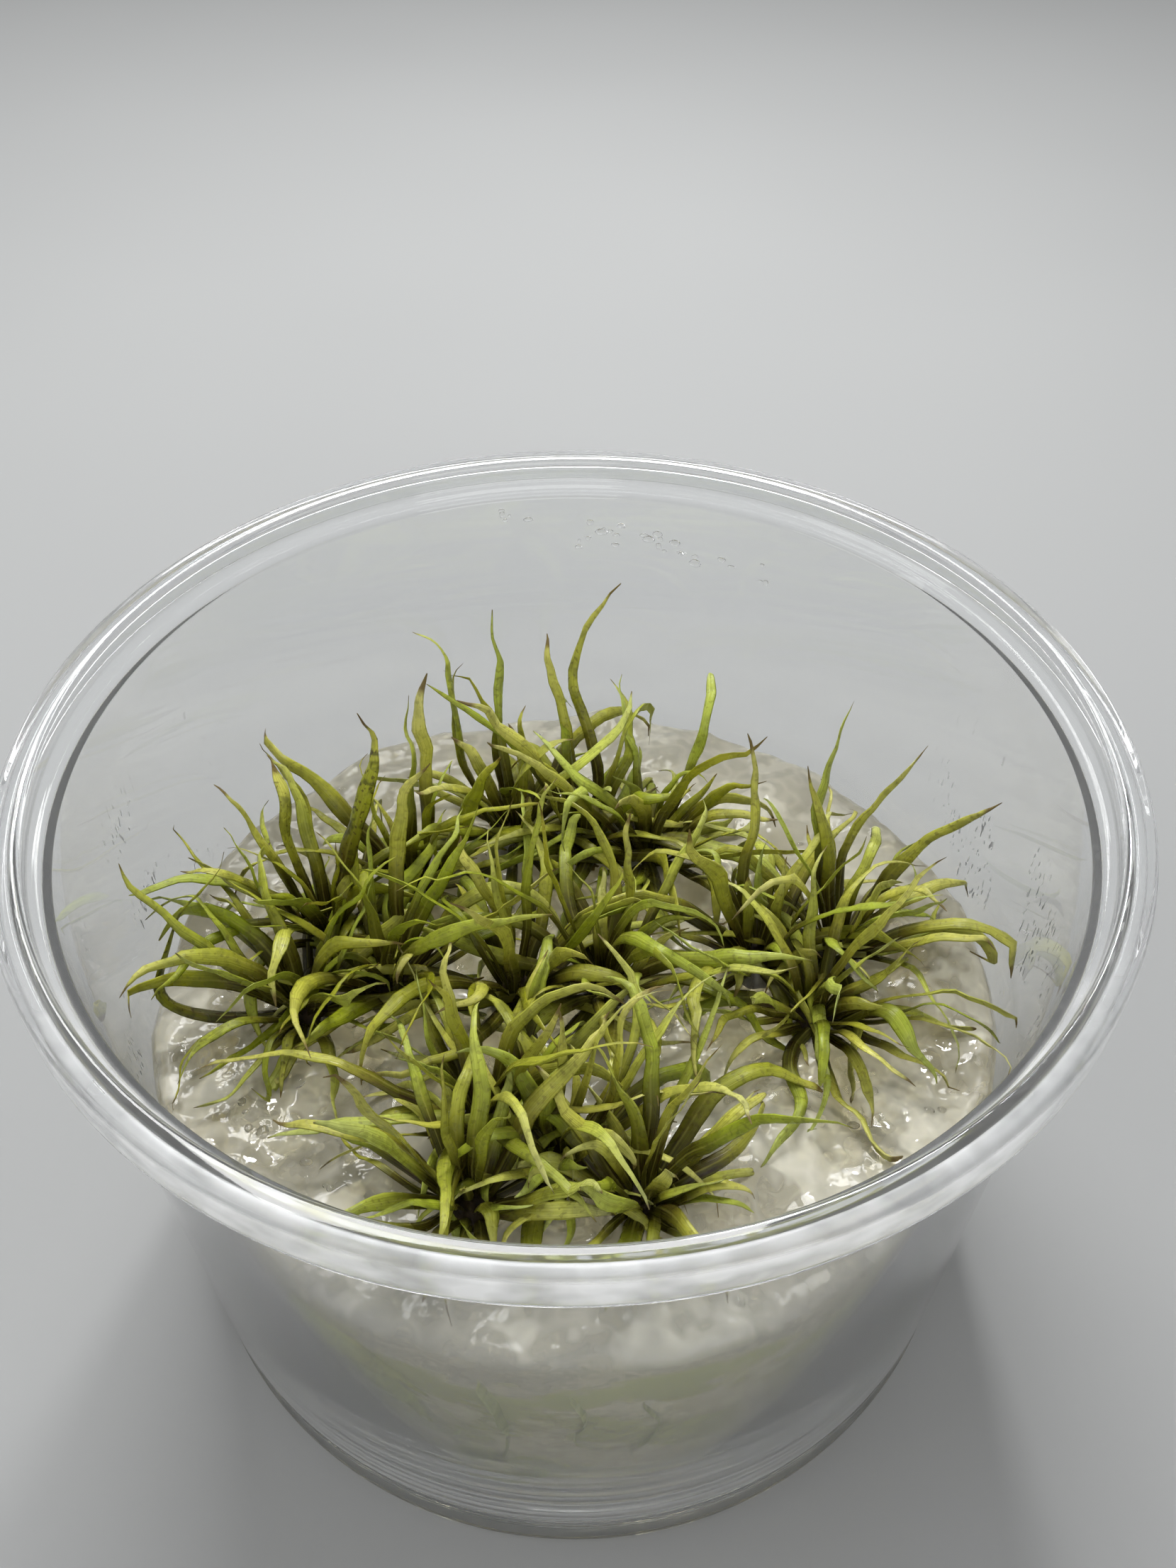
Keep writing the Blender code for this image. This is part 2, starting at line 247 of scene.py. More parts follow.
def gelTop(x, y):
    height, pace, shift, alongPace, alongShift = gel["swell"]
    swell = height * math.sin(pace * x + shift) * math.cos(alongPace * y + alongShift)
    height, pace, alongPace, shift = gel["ripple"]
    ripple = height * math.sin(pace * x - alongPace * y + shift)
    return gel["level"] - gel["slope"] * y / gel["radius"] + swell + ripple


def scatter(seed, low, high):  # even scatter that is the same for each seed
    value = math.sin(seed * 12.9898 + 4.1414) * 43758.5453
    return low + (value - math.floor(value)) * (high - low)


def placed(name, data):
    made = bpy.data.objects.new(name, data)
    bpy.context.collection.objects.link(made)
    return made


def meshPiece(name, points, faces, material):
    mesh = bpy.data.meshes.new(name)
    mesh.from_pydata([Vector(point) * mm for point in points], [], faces)
    mesh.materials.append(material)
    mesh.shade_smooth()
    return placed(name, mesh)


def hand(piece, slot, *nodes):  # the piece rides on the plant and stands for its nodes
    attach(piece, "root")
    if nodes:
        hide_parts(*nodes)


def roundCorners(corners, steps=6):  # corners are (radius, height, rounding)
    line = []
    for index, (x, z, rounding) in enumerate(corners):
        here = Vector((x, z))
        if rounding == 0.0:
            line.append(here)
            continue
        before = (Vector(corners[index - 1][:2]) - here).normalized()
        after = (Vector(corners[index + 1][:2]) - here).normalized()
        first = here + before * rounding
        last = here + after * rounding
        for step in range(steps + 1):
            share = step / steps
            line.append((1 - share) ** 2 * first + 2 * share * (1 - share) * here + share ** 2 * last)
    return line


def turned(profile, sides):  # axis to axis, down the outer side
    points = [(0.0, 0.0, profile[0][1])]
    for radius, level in profile[1:-1]:
        for side in range(sides):
            turn = 2 * math.pi * side / sides
            points.append((radius * math.cos(turn), radius * math.sin(turn), level))
    points.append((0.0, 0.0, profile[-1][1]))
    last = len(points) - 1
    faces = []
    for side in range(sides):
        after = (side + 1) % sides
        faces.append((0, 1 + side, 1 + after))
        for ring in range(len(profile) - 3):
            upper = 1 + ring * sides
            lower = upper + sides
            faces.append((upper + side, lower + side, lower + after, upper + after))
        faces.append((last - sides + side, last, last - sides + after))
    return points, faces


# Cup

def plasticFinish():
    look = {
        "tint": (0.97, 0.98, 0.985, 1.0),
        "clear": 0.965,             # the rest is a faint milkiness
        "index": 1.47,
        "clean": 0.025,
        "hazy": 0.12,
        "hazeShare": 0.35,
        "scuff": (0.35, 0.35, 0.36, 1.0),
        "scuffRoughness": 0.5,
        "scuffSides": (0.040, 0.003),   # limit and softness of each edge, in metres
        "scuffLow": (0.034, 0.004),
        "scuffHigh": (0.052, 0.006),
        "skirtMilkAndGlow": 0.9,           # of the thick moulded band under the rim: a faint real milkiness, and a painted glow on its front
        "skirtLow": (0.0655, 0.0005),
        "skirtHigh": (0.0685, 0.0003),
        "front": (-0.040, 0.02),
        "wavesEnd": (0.058, 0.004),
        "drawnEnd": (0.010, 0.010),
        "milkAndPaintedLight": {"Base Color": (0.97, 0.975, 0.97, 1.0), "Roughness": 0.2, "IOR": 1.47,
                   "Transmission Weight": 0.15},
    }
    fixed = {"Base Color": look["tint"], "Transmission Weight": look["clear"], "IOR": look["index"],
             "Roughness": look["clean"], "Specular IOR Level": 0.5}
    made, graph, shader, place = newMaterial("clearPlastic", fixed)
    height = graph.part(place, "Z")

    # A faint haze, and scuffs in clusters on the left and right
    haze = graph.noise(place, 60.0, 1.0).above(0.45, 0.3)
    dashes = graph.noise(graph.stretched(place, (2200.0, 2200.0, 620.0)), 1.0, 1.0)
    sides = graph.part(place, "X").size().above(*look["scuffSides"])
    band = height.above(*look["scuffLow"]) * (1 - height.above(*look["scuffHigh"]))
    patches = graph.noise(place, 110.0, 0.0).above(0.52, 0.06)
    marks = (dashes.above(0.66, 0.03) * sides * band * patches).clamped()
    colour = graph.mix(marks, look["tint"], look["scuff"])
    roughness = look["clean"] + haze * (look["hazy"] - look["clean"]) * look["hazeShare"]
    roughness = roughness + marks * look["scuffRoughness"]

    # Slow waves in the wall, and the drawn lines over the foot
    waves = graph.noise(graph.stretched(place, (60.0, 60.0, 20.0)), 1.0, 1.0) * 0.10
    waves = waves * (1 - height.above(*look["wavesEnd"]))
    drawn = graph.noise(graph.stretched(place, (5.0, 5.0, 430.0)), 1.0, 0.0) * 0.4
    drawn = drawn * (1 - height.above(*look["drawnEnd"]))
    relief = graph.bump(waves + drawn, 0.2, 0.0006)
    feed(graph, shader, colour=colour, roughness=roughness, normal=relief)

    # The skirt: a faint real milkiness, and a painted glow on its front side where light from behind shines
    # through, in painted lens-like blobs
    milkAndPaintedLight = secondShader(graph, look["milkAndPaintedLight"])
    feed(graph, milkAndPaintedLight, normal=relief)
    skirt = height.above(*look["skirtLow"]) * (1 - height.above(*look["skirtHigh"]))
    # the painted glow gathers on the front of the skirt
    toFront = 1 - graph.part(place, "Y").above(*look["front"])
    glowBlobs = graph.noise(graph.stretched(place, (260.0, 260.0, 420.0)), 1.0, 1.0).above(0.36, 0.3)
    share = (skirt * (glowBlobs * 0.6 + 0.4) * (toFront * 0.9 + 0.06) * look["skirtMilkAndGlow"]).clamped()
    overlay(graph, shader, milkAndPaintedLight, share)
    return made


def makeCup(material):
    wallTop = cup["stepHeight"]
    stepInner = cup["mouth"] + cup["stepWidth"]
    skirtInner = cup["rim"] - cup["skirtWall"]
    skirtBottom = cup["height"] - cup["skirtDrop"]
    under = cup["height"] - cup["flange"]
    corners = [
        (0.0, cup["floorTop"], 0.0),
        (cup["floorRadius"] - 0.2, cup["floorTop"], 1.9),
        (cup["mouth"], wallTop - 0.3, 0.2),
        (cup["mouth"] + 0.6 * cup["stepWidth"], wallTop + 0.45, 0.12),
        (cup["mouth"] + 0.6 * cup["stepWidth"] + 0.1, wallTop + 0.8, 0.12),
        (stepInner, wallTop + 1.3, 0.2),
        (stepInner + 0.2, cup["height"], 0.55),
        (cup["rim"], cup["height"], 0.95),
        (cup["rim"], skirtBottom, 0.3),
        (skirtInner, skirtBottom, 0.3),
        (skirtInner - 0.05, under, 0.35),
        (stepInner + cup["wall"], under, 0.3),
        (stepInner + cup["wall"] - 0.1, wallTop + 0.4, 0.4),
        (cup["mouth"] + cup["wall"], wallTop - 0.7, 0.3),
        (cup["foot"] + 0.18, cup["footRing"] + 4.3, 0.3),
        (cup["foot"] - 0.16, cup["footRing"] + 3.6, 0.25),
        (cup["foot"] + 0.12, cup["footRing"] + 2.8, 0.25),
        (cup["foot"] - 0.24, cup["footRing"] + 2.0, 0.25),
        (cup["foot"] - 0.08, cup["footRing"] + 1.2, 0.3),
        (cup["foot"] - 0.7, cup["footRing"] + 0.2, 0.25),
        (cup["foot"], cup["footRing"] - 0.7, 0.3),
        (cup["foot"], 0.0, 1.3),
        (cup["foot"] - 3.0, 0.0, 1.3),
        (cup["foot"] - 3.3, cup["recess"] + 0.6, 0.35),
        (cup["foot"] - 4.2, cup["recess"], 0.2),
        (0.0, cup["recess"], 0.0),
    ]
    points, faces = turned(roundCorners(corners), cup["sides"])
    shell = meshPiece("cupShell", points, faces, material)
    hand(shell, "clear_plastic", "cup")
    print("cup turned")


# Jelly

def jellyFinish():
    look = {
        # The bright and darker tints are painted caustic light and shade, mixed in clouds through the jelly
        "bright": (1.0, 0.975, 0.83, 1.0),
        "causticShade": (0.97, 0.92, 0.75, 1.0),
        "cream": (0.96, 0.93, 0.80, 1.0),
        # the colour of a painted warm glow on the jelly's sides
        "sideGlow": (0.95, 0.86, 0.50, 1.0),
        "leafy": (0.40, 0.42, 0.10, 1.0),
        "leafyShare": 0.8,       # green that shows through the front of the block
        "clear": 0.86,           # the rest is the milkiness of agar
        "index": 1.34,
        "depth": (0.97, 0.94, 0.82),
        "density": 22.0,
        "front": (0.028, 0.008),     # limit and softness of each edge, in metres
        "smearsStart": (0.004, 0.014),
        "smearsEnd": (0.0385, 0.001),
        "back": (0.008, 0.02),
        "lowGlowEnd": (0.012, 0.012),
        "webCaustics": 0.12,         # shares of the milky shader, on top and then on the sides; the web, patch and back shares are painted caustic light, the low share a painted warm glow
        "patchCaustics": 0.24,
        "topMilk": 0.17,
        "backLight": 0.30,
        "smearMilk": 0.7,
        "sideMilk": 0.08,
        "lowGlowMilk": 0.60,
    }
    fixed = {"Base Color": look["bright"], "Transmission Weight": look["clear"], "IOR": look["index"],
             "Roughness": 0.02, "Specular IOR Level": 0.5}
    made, graph, shader, place = newMaterial("jelly", fixed)
    # Painted caustic light and shade: clouds of bright and darker tint
    causticClouds = graph.noise(place, 110.0, 1.0, 0.4).above(0.40, 0.2)
    colour = graph.mix(causticClouds, look["causticShade"], look["bright"])
    toFront = graph.part(place, "Y") * -1.0
    high = graph.part(place, "Z")
    behind = (toFront.above(*look["front"]) * high.above(*look["smearsStart"])
              * (1 - high.above(*look["smearsEnd"])))
    smears = graph.noise(graph.stretched(place, (90.0, 90.0, 190.0)), 1.0, 3.0, 0.6).above(0.44, 0.10)
    colour = graph.mix(behind * smears * look["leafyShare"], colour, look["leafy"])
    lumps = graph.noise(place, 240.0, 2.0)
    fine = graph.noise(place, 620.0, 1.0)
    streaks = graph.noise(graph.stretched(place, (420.0, 420.0, 18.0)), 1.0, 1.0)
    relief = graph.bump(lumps * 0.6 + streaks * 0.4 + fine * 0.12, 0.6, 0.0013)
    feed(graph, shader, colour=colour, roughness=0.015 + causticClouds * 0.03, normal=relief)

    # Painted caustic light on top in webs and patches, and a painted lighter back; a painted warm glow down
    # the sides, strongest low down, and green smears
    facing = graph.node("ShaderNodeTexCoord", out="Normal")
    upward = graph.part(facing, "Z").above(0.35, 0.4)
    causticWeb = 1 - (graph.noise(place, 135.0, 2.0, 0.65) - 0.5).size().above(0.004, 0.06)
    patches = graph.noise(place, 105.0, 3.0, 0.65).above(0.51, 0.05)
    # the back of the top is painted lighter, as if lit from behind
    backLightMask = graph.part(place, "Y").above(*look["back"])
    topMilkAndLight = (causticWeb * look["webCaustics"] + patches * look["patchCaustics"] + look["topMilk"]
           + backLightMask * look["backLight"]) * upward
    # the sides get a painted warm glow, strongest near the bottom
    level = 1 - high.above(*look["lowGlowEnd"])
    side = (1 - upward) * (behind * smears * look["leafyShare"] * look["smearMilk"]
                           + look["sideMilk"] + level * look["lowGlowMilk"])
    cream = graph.mix(1 - upward, look["cream"], look["sideGlow"])
    cream = graph.mix(behind * smears * (1 - upward), cream, look["leafy"])
    milkAndPaintedLight = secondShader(graph, {"Roughness": 0.03, "IOR": look["index"], "Transmission Weight": 0.15})
    feed(graph, milkAndPaintedLight, colour=cream, normal=relief)
    overlay(graph, shader, milkAndPaintedLight, (topMilkAndLight + side).clamped())
    absorb(graph, look["depth"], look["density"])
    return made


def makeGel(material):
    rings = gel["rings"]
    sides = gel["sides"]
    bottom = gel["bottom"]
    wide, narrow = gel["bulges"]
    points = []
    for ring in range(1, rings + 1):
        radius = gel["radius"] * (ring / rings) ** gel["crowding"]
        for side in range(sides):
            turn = 2 * math.pi * side / sides
            x = radius * math.cos(turn)
            y = radius * math.sin(turn)
            points.append((x, y, surfaceHeight(x, y, radius)))
    low = []
    for level in gel["sideLevels"]:
        low.append((gel["radius"] - gel["sideSlope"] * (gel["sideTop"] - level), level))
    low += [(innerRadius(14.0) - 1.0, 14.0), (cup["floorRadius"] - 0.7, 6.0),
            (cup["floorRadius"] - 1.9, 3.6), (cup["floorRadius"] - 3.4, bottom)]
    for radius, level in low:
        for side in range(sides):
            turn = 2 * math.pi * side / sides
            bulge = wide * math.sin(9 * turn + 0.11 * level) + narrow * math.sin(23 * turn + level)
            bulge *= min(1.0, (level - bottom) / gel["bulgeFade"])
            points.append(((radius + bulge) * math.cos(turn), (radius + bulge) * math.sin(turn), level))
    points.append((0.0, 0.0, surfaceHeight(0.0, 0.0, 0.0)))
    points.append((0.0, 0.0, bottom))
    faces = []
    total = rings + len(low)
    for side in range(sides):
        after = (side + 1) % sides
        faces.append((len(points) - 2, side, after))
        for ring in range(total - 1):
            upper = ring * sides
            lower = upper + sides
            faces.append((upper + side, lower + side, lower + after, upper + after))
        lastRing = (total - 1) * sides
        faces.append((lastRing + side, len(points) - 1, lastRing + after))
    block = meshPiece("gelBlock", points, faces, material)
    hand(block, "jelly", "gel")
    print("jelly poured")


def surfaceHeight(x, y, radius):  # wet lumps, a climb at each stock and a soft edge
    lumps = gel["lump"] * math.sin(0.52 * x + 1.4 * math.sin(0.29 * y)) * math.sin(0.47 * y + 0.8)
    lumps += gel["fineLump"] * math.sin(1.1 * x - 0.7 * y + 2.0) * math.sin(0.9 * y + 0.4 * x)
    height, reach = gel["climb"]
    depth, distance, width = gel["moat"]
    climb = 0.0
    for stockX, stockY in rosettes.values():
        near = math.hypot(x - stockX, y - stockY)
        moat = depth * math.exp(-((near - distance) / width) ** 2)
        climb = max(climb, height * math.exp(-((near / reach) ** 2)) - moat)
    edgeWidth, edgeDrop = gel["edge"]
    edge = max(0.0, radius - gel["radius"] + edgeWidth) / edgeWidth
    return gelTop(x, y) + lumps + climb - edgeDrop * edge ** 3


# Leaves

outerLeaves = (  # plantlet, tip, arch or the point that bends it, width, paleness, age
    ("back_1", (-18, 29, 60), 2.0, 2.0, 0.35, 0.5),
    ("back_1", (-9, 31, 60), 1.0, 1.9, 0.55, 0.2),
    ("back_1", (-19, 20, 45), 4.0, 1.8, 0.5, 0.2),
    ("back_2", (-3, 31, 58), 1.5, 1.9, 0.5, 0.1),
    ("back_2", (5, 32, 62), 1.0, 2.1, 0.3, 0.4),
    ("back_2", (-3, 9, 54), 3.0, 1.9, 0.4, 0.6),
    ("back_3", (15, 29, 54), 4.0, 2.0, 0.65, 0.1),
    ("back_3", (22, 15, 44), 3.5, 1.9, 0.6, 0.2),
    ("back_3", (23, 6, 46), 3.5, 1.7, 0.2, 0.7),
    ("left_1", (-42, -2, 48), 5.0, 1.9, 0.45, 0.3),
    ("left_1", (-33, -1, 56), (-52, -14, 44), 2.3, 0.15, 0.9),
    ("left_1", (-37, -18, 42), 4.0, 2.0, 0.35, 0.4),
    ("left_1", (-28, -18, 40), 2.5, 1.7, 0.3, 0.6),
    ("left_2", (-16, -11, 49), 4.0, 2.1, 0.7, 0.1),
    ("left_2", (-14, 7, 60), 2.0, 2.1, 0.5, 0.2),
    ("left_3", (-21, 12, 62), 2.0, 2.7, 0.1, 1.0),
    ("left_3", (-30, 10, 58), 3.0, 2.3, 0.3, 0.5),
    ("left_3", (-36, 7, 57), 2.0, 1.9, 0.6, 0.1),
    ("left_3", (-39, 1, 51), 5.0, 1.8, 0.4, 0.3),
    ("left_4", (-15, 19, 62), 0.5, 2.7, 0.9, 0.0),
    ("centre_1", (-12, 5, 52), 3.0, 2.0, 0.5, 0.2),
    ("centre_1", (-13, -14, 49), 3.5, 2.1, 0.6, 0.1),
    ("centre_1", (-5, -18, 45), 4.0, 2.1, 0.5, 0.2),
    ("centre_2", (6, 4, 56), 2.0, 2.0, 0.4, 0.3),
    ("centre_2", (11, -7, 52), 3.0, 2.0, 0.6, 0.1),
    ("centre_2", (7, -15, 50), 3.5, 2.0, 0.55, 0.2),
    ("right_1", (17, 14, 58), 1.5, 2.0, 0.5, 0.2),
    ("right_1", (11, 7, 47), 4.0, 1.9, 0.55, 0.1),
    ("right_2", (28, 15, 61), 1.5, 2.2, 0.45, 0.1),
    ("right_2", (36, 13, 56), 3.0, 2.0, 0.5, 0.2),
    ("right_2", (42, 6, 56), 1.0, 2.1, 0.4, 0.3),
    ("right_2", (41, -5, 46), 3.0, 2.1, 0.6, 0.1),
    ("right_3", (34, -17, 41), 4.0, 2.3, 0.75, 0.0),
    ("right_3", (27, -22, 40), 2.0, 2.1, 0.6, 0.2),
    ("right_3", (17, -26, 40), 1.5, 2.3, 0.65, 0.3),
    ("front_4", (-34, -19, 46), 4.0, 2.1, 0.6, 0.1),
    ("front_1", (-26, -25, 48), 3.0, 2.1, 0.5, 0.2),
    ("front_1", (-24, -35, 43), 3.0, 2.0, 0.35, 0.4),
    ("front_3", (15, -31, 44), 3.0, 2.3, 0.7, 0.1),
    ("front_3", (17, -22, 48), 3.0, 2.1, 0.5, 0.2),
    ("front_2", (-1, -21, 58), 1.0, 2.1, 0.6, 0.1),
    ("front_2", (8, -17, 56), 3.0, 2.1, 0.6, 0.2),
)

blade = {
    "points": 24,
    "section": 10,
    "thickness": 0.20,   # of the half width
    "fold": 0.34,
    "slimness": 0.76,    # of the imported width, which is the broadest a leaf gets
    "baseWidth": 0.68,
    "broadest": 0.38,
    "taper": 3.0,
    "tipWidth": 0.04,
    "tipCurve": 0.85,
    "ripple": 0.0036,    # how far the tips stray, in metres
    "rippleScale": 170.0,
    "crumple": 0.00012,
    "crumpleScale": 900.0,
    "start": 2.1,
    "startHeight": 0.9,
    "offGel": 0.9,
    "offWall": 1.3,
    "clearance": 0.25,   # between any edge and the wall
    "highest": 62.5,
    "bendAt": 0.45,      # of the way to the tip
    "sway": 0.12,        # of the length, as are the next two
    "wave": 0.08,
    "hook": 0.10,
    "twist": 0.8,
}

heart = {
    "leaves": 30,
    "lean": 2.0,         # degrees from upright, and how much more for each next leaf
    "leanStep": 2.6,
    "leanSpread": 5.0,
    "headingSpread": 0.4,
    "droop": (10.0, 95.0),
    "droopCurve": 1.4,
    "hook": (30.0, 130.0),
    "hookedShare": 0.4,
    "knee": (0.30, 0.60),
    "turn": 1.4,
    "turnCurve": 1.6,
    "sway": 0.32,
    "pace": (3.0, 6.5),
    "twist": 2.0,
    "length": (11.0, 25.0),
    "width": (1.0, 2.0),
    "points": 20,
    "away": (0.5, 1.5),  # from the middle of the stock, and how much more for the last leaf
    "startHeight": 0.6,
    "paleSpread": 0.9,
    "age": 0.15,
    "seed": 500,
    "longer": {"within": 22.0, "every": 7, "first": 5, "share": 1.25},
    "front": {"before": -24.0, "heading": -0.5, "share": 0.6},   # little room before the front wall
    "back": {"behind": 9.0, "heading": 0.1, "after": 9, "share": 0.68},   # narrow tufts
}

clumpHeight = {"back": 1.08, "left": 1.0, "centre": 1.15, "right": 1.0, "front": 1.04}
clumpPaleness = {"back": 0.40, "left": 0.22, "centre": 0.45, "right": 0.60, "front": 0.58}


def bladeWidth(share):  # of the broadest
    rise = math.sin(0.5 * math.pi * min(1.0, share / blade["broadest"]))
    swelling = blade["baseWidth"] + (1.0 - blade["baseWidth"]) * rise
    return swelling * max(blade["tipWidth"], 1.0 - share ** blade["taper"]) ** blade["tipCurve"]


def pulledIn(point, gap):  # at least this far from the wall
    reach = math.hypot(point.x, point.y)
    limit = innerRadius(point.z) - gap
    if reach > limit:
        point.x *= limit / reach
        point.y *= limit / reach
    return point


def settled(point):  # kept off the jelly and inside the wall
    point.z = max(point.z, gelTop(point.x, point.y) + blade["offGel"])
    point.z = min(point.z, blade["highest"])
    return pulledIn(point, blade["offWall"])


def archedLine(start, tip, arch, seed):  # a long leaf from its stock to a given tip
    start = Vector(start)
    tip = Vector(tip)
    if isinstance(arch, tuple):
        bend = Vector(arch)
    else:
        bend = start.lerp(tip, blade["bendAt"]) + Vector((0, 0, 2 * arch))
    side = (tip - start).cross(Vector((0.0, 0.0, 1.0))).normalized()
    length = (tip - start).length
    sway = scatter(seed + 0.2, -blade["sway"], blade["sway"]) * length
    wave = scatter(seed + 0.4, -blade["wave"], blade["wave"]) * length
    hook = scatter(seed + 0.7, 0.0, blade["hook"]) * length
    line = []
    for step in range(blade["points"]):
        share = step / (blade["points"] - 1)
        rest = 1.0 - share
        point = rest * rest * start + 2.0 * rest * share * bend + share * share * tip
        point += side * (sway * math.sin(math.pi * share) + wave * math.sin(2.0 * math.pi * share))
        point.z += hook * (math.sin(math.pi * share) ** 2 - 0.6 * share ** 8)
        line.append(settled(point))
    return line


def wanderingLine(start, heading, lean, droop, hook, turn, length, seed):
    count = heart["points"]
    line = [settled(Vector(start))]
    place = Vector(start)
    sway = scatter(seed + 0.12, -heart["sway"], heart["sway"])
    pace = scatter(seed + 0.34, *heart["pace"])
    knee = scatter(seed + 0.78, *heart["knee"])
    for step in range(1, count):
        share = step / (count - 1)
        tilt = lean + droop * share ** heart["droopCurve"] + hook * max(0.0, share - knee) / (1.0 - knee)
        tilt += 0.5 * sway * math.cos(pace * share)
        aim = heading + turn * share ** heart["turnCurve"] + sway * math.sin(pace * share)
        ahead = Vector((math.sin(tilt) * math.cos(aim), math.sin(tilt) * math.sin(aim), math.cos(tilt)))
        place = settled(place + ahead * (length / (count - 1)))
        line.append(place.copy())
    return line


def bladeCurve(name, lines):  # lines are (points, width, twist)
    curve = bpy.data.curves.new(name, "CURVE")
    curve.dimensions = "3D"
    curve.twist_mode = "MINIMUM"
    for points, width, twist in lines:
        spline = curve.splines.new("POLY")
        spline.points.add(len(points) - 1)
        for index, point in enumerate(points):
            share = index / (len(points) - 1)
            spline.points[index].co = (*(point * mm), 1.0)
            spline.points[index].radius = 0.5 * width * mm * bladeWidth(share)
            spline.points[index].tilt = twist * share
    return placed(name, curve)


def bladeTree():
    tree = bpy.data.node_groups.new("growBlades", "GeometryNodeTree")
    tree.is_modifier = True
    face = tree.interface
    face.new_socket("Geometry", in_out="INPUT", socket_type="NodeSocketGeometry")
    for name, start in (("Thickness", blade["thickness"]), ("Fold", blade["fold"]),
                        ("Paleness", 0.5), ("Paleness Spread", 0.2), ("Age", 0.2)):
        face.new_socket(name, in_out="INPUT", socket_type="NodeSocketFloat").default_value = start
    face.new_socket("Seed", in_out="INPUT", socket_type="NodeSocketInt")
    face.new_socket("Finish", in_out="INPUT", socket_type="NodeSocketMaterial")
    face.new_socket("Geometry", in_out="OUTPUT", socket_type="NodeSocketGeometry")
    graph = Graph(tree)
    node = graph.node
    given = tree.nodes.new("NodeGroupInput")

    def ask(name):
        return Wire(graph, given.outputs[name])

    def keep(name, geometry, value, domain="POINT"):
        return node("GeometryNodeStoreNamedAttribute", {"data_type": "FLOAT", "domain": domain},
                    {"Name": name, "Geometry": geometry, "Value": value})

    # A flat ring folded into a channel is the leaf's cross-section
    ring = node("GeometryNodeCurvePrimitiveCircle", {}, {"Resolution": blade["section"], "Radius": 1.0})
    spot = node("GeometryNodeInputPosition")
    across = graph.part(spot, "X")
    lift = graph.part(spot, "Y") * ask("Thickness") + across.size() * ask("Fold")
    moved = node("ShaderNodeCombineXYZ", {}, {"X": across, "Y": lift, "Z": 0.0})
    section = node("GeometryNodeSetPosition", {}, {"Geometry": ring, "Position": moved})
    section = keep("across", section, across)

    # Along each spine: how far up, and one paleness and age per leaf
    spines = keep("along", ask("Geometry"), node("GeometryNodeSplineParameter", {}, out="Factor"))
    chance = node("FunctionNodeRandomValue", {"data_type": "FLOAT"}, {"Seed": ask("Seed")}, out=1)
    spines = keep("pale", spines, ask("Paleness") + (chance - 0.5) * ask("Paleness Spread"), "CURVE")
    spines = keep("age", spines, ask("Age"), "CURVE")

    # Sweep the section up the spine, crinkle and ripple it, and finish it
    width = node("GeometryNodeInputRadius")
    swept = node("GeometryNodeCurveToMesh", {},
                 {"Curve": spines, "Profile Curve": section, "Scale": width, "Fill Caps": True})
    crumple = node("ShaderNodeTexNoise", {}, {"Scale": blade["crumpleScale"], "Detail": 1.0})
    push = node("ShaderNodeVectorMath", {"operation": "SCALE"},
                {0: node("GeometryNodeInputNormal"), "Scale": (crumple - 0.5) * blade["crumple"]})
    crinkled = node("GeometryNodeSetPosition", {}, {"Geometry": swept, "Offset": push})
    ripple = node("ShaderNodeTexNoise", {}, {"Scale": blade["rippleScale"], "Detail": 1.0}, out="Color")
    ripple = node("ShaderNodeVectorMath", {"operation": "SUBTRACT"}, {0: ripple, 1: (0.5, 0.5, 0.5)})
    upLeaf = node("GeometryNodeInputNamedAttribute", {"data_type": "FLOAT"}, {"Name": "along"})
    ripple = node("ShaderNodeVectorMath", {"operation": "SCALE"},
                  {0: ripple, "Scale": upLeaf * blade["ripple"]})
    rippled = node("GeometryNodeSetPosition", {}, {"Geometry": crinkled, "Offset": ripple})
    whole = node("GeometryNodeRealizeInstances", {}, {"Geometry": rippled})
    smooth = node("GeometryNodeSetShadeSmooth", {}, {"Geometry": whole, "Shade Smooth": True})
    dressed = node("GeometryNodeSetMaterial", {}, {"Geometry": smooth, "Material": ask("Finish")})
    result = tree.nodes.new("NodeGroupOutput")
    tree.links.new(dressed.socket, result.inputs["Geometry"])
    return tree


def baked(source, tree, values):  # runs the tree on the source and keeps a plain mesh
    modifier = source.modifiers.new("grow", "NODES")
    modifier.node_group = tree
    for item in tree.interface.items_tree:
        if item.in_out == "INPUT" and item.name in values:
            modifier[item.identifier] = values[item.name]
    bpy.context.view_layer.update()
    shaped = bpy.data.meshes.new_from_object(source.evaluated_get(bpy.context.evaluated_depsgraph_get()))
    for vertex in shaped.vertices:
        vertex.co = pulledIn(vertex.co / mm, blade["clearance"]) * mm
    name = source.name
    source.modifiers.remove(modifier)
    bpy.data.objects.remove(source)
    shaped.name = name
    return placed(name, shaped)


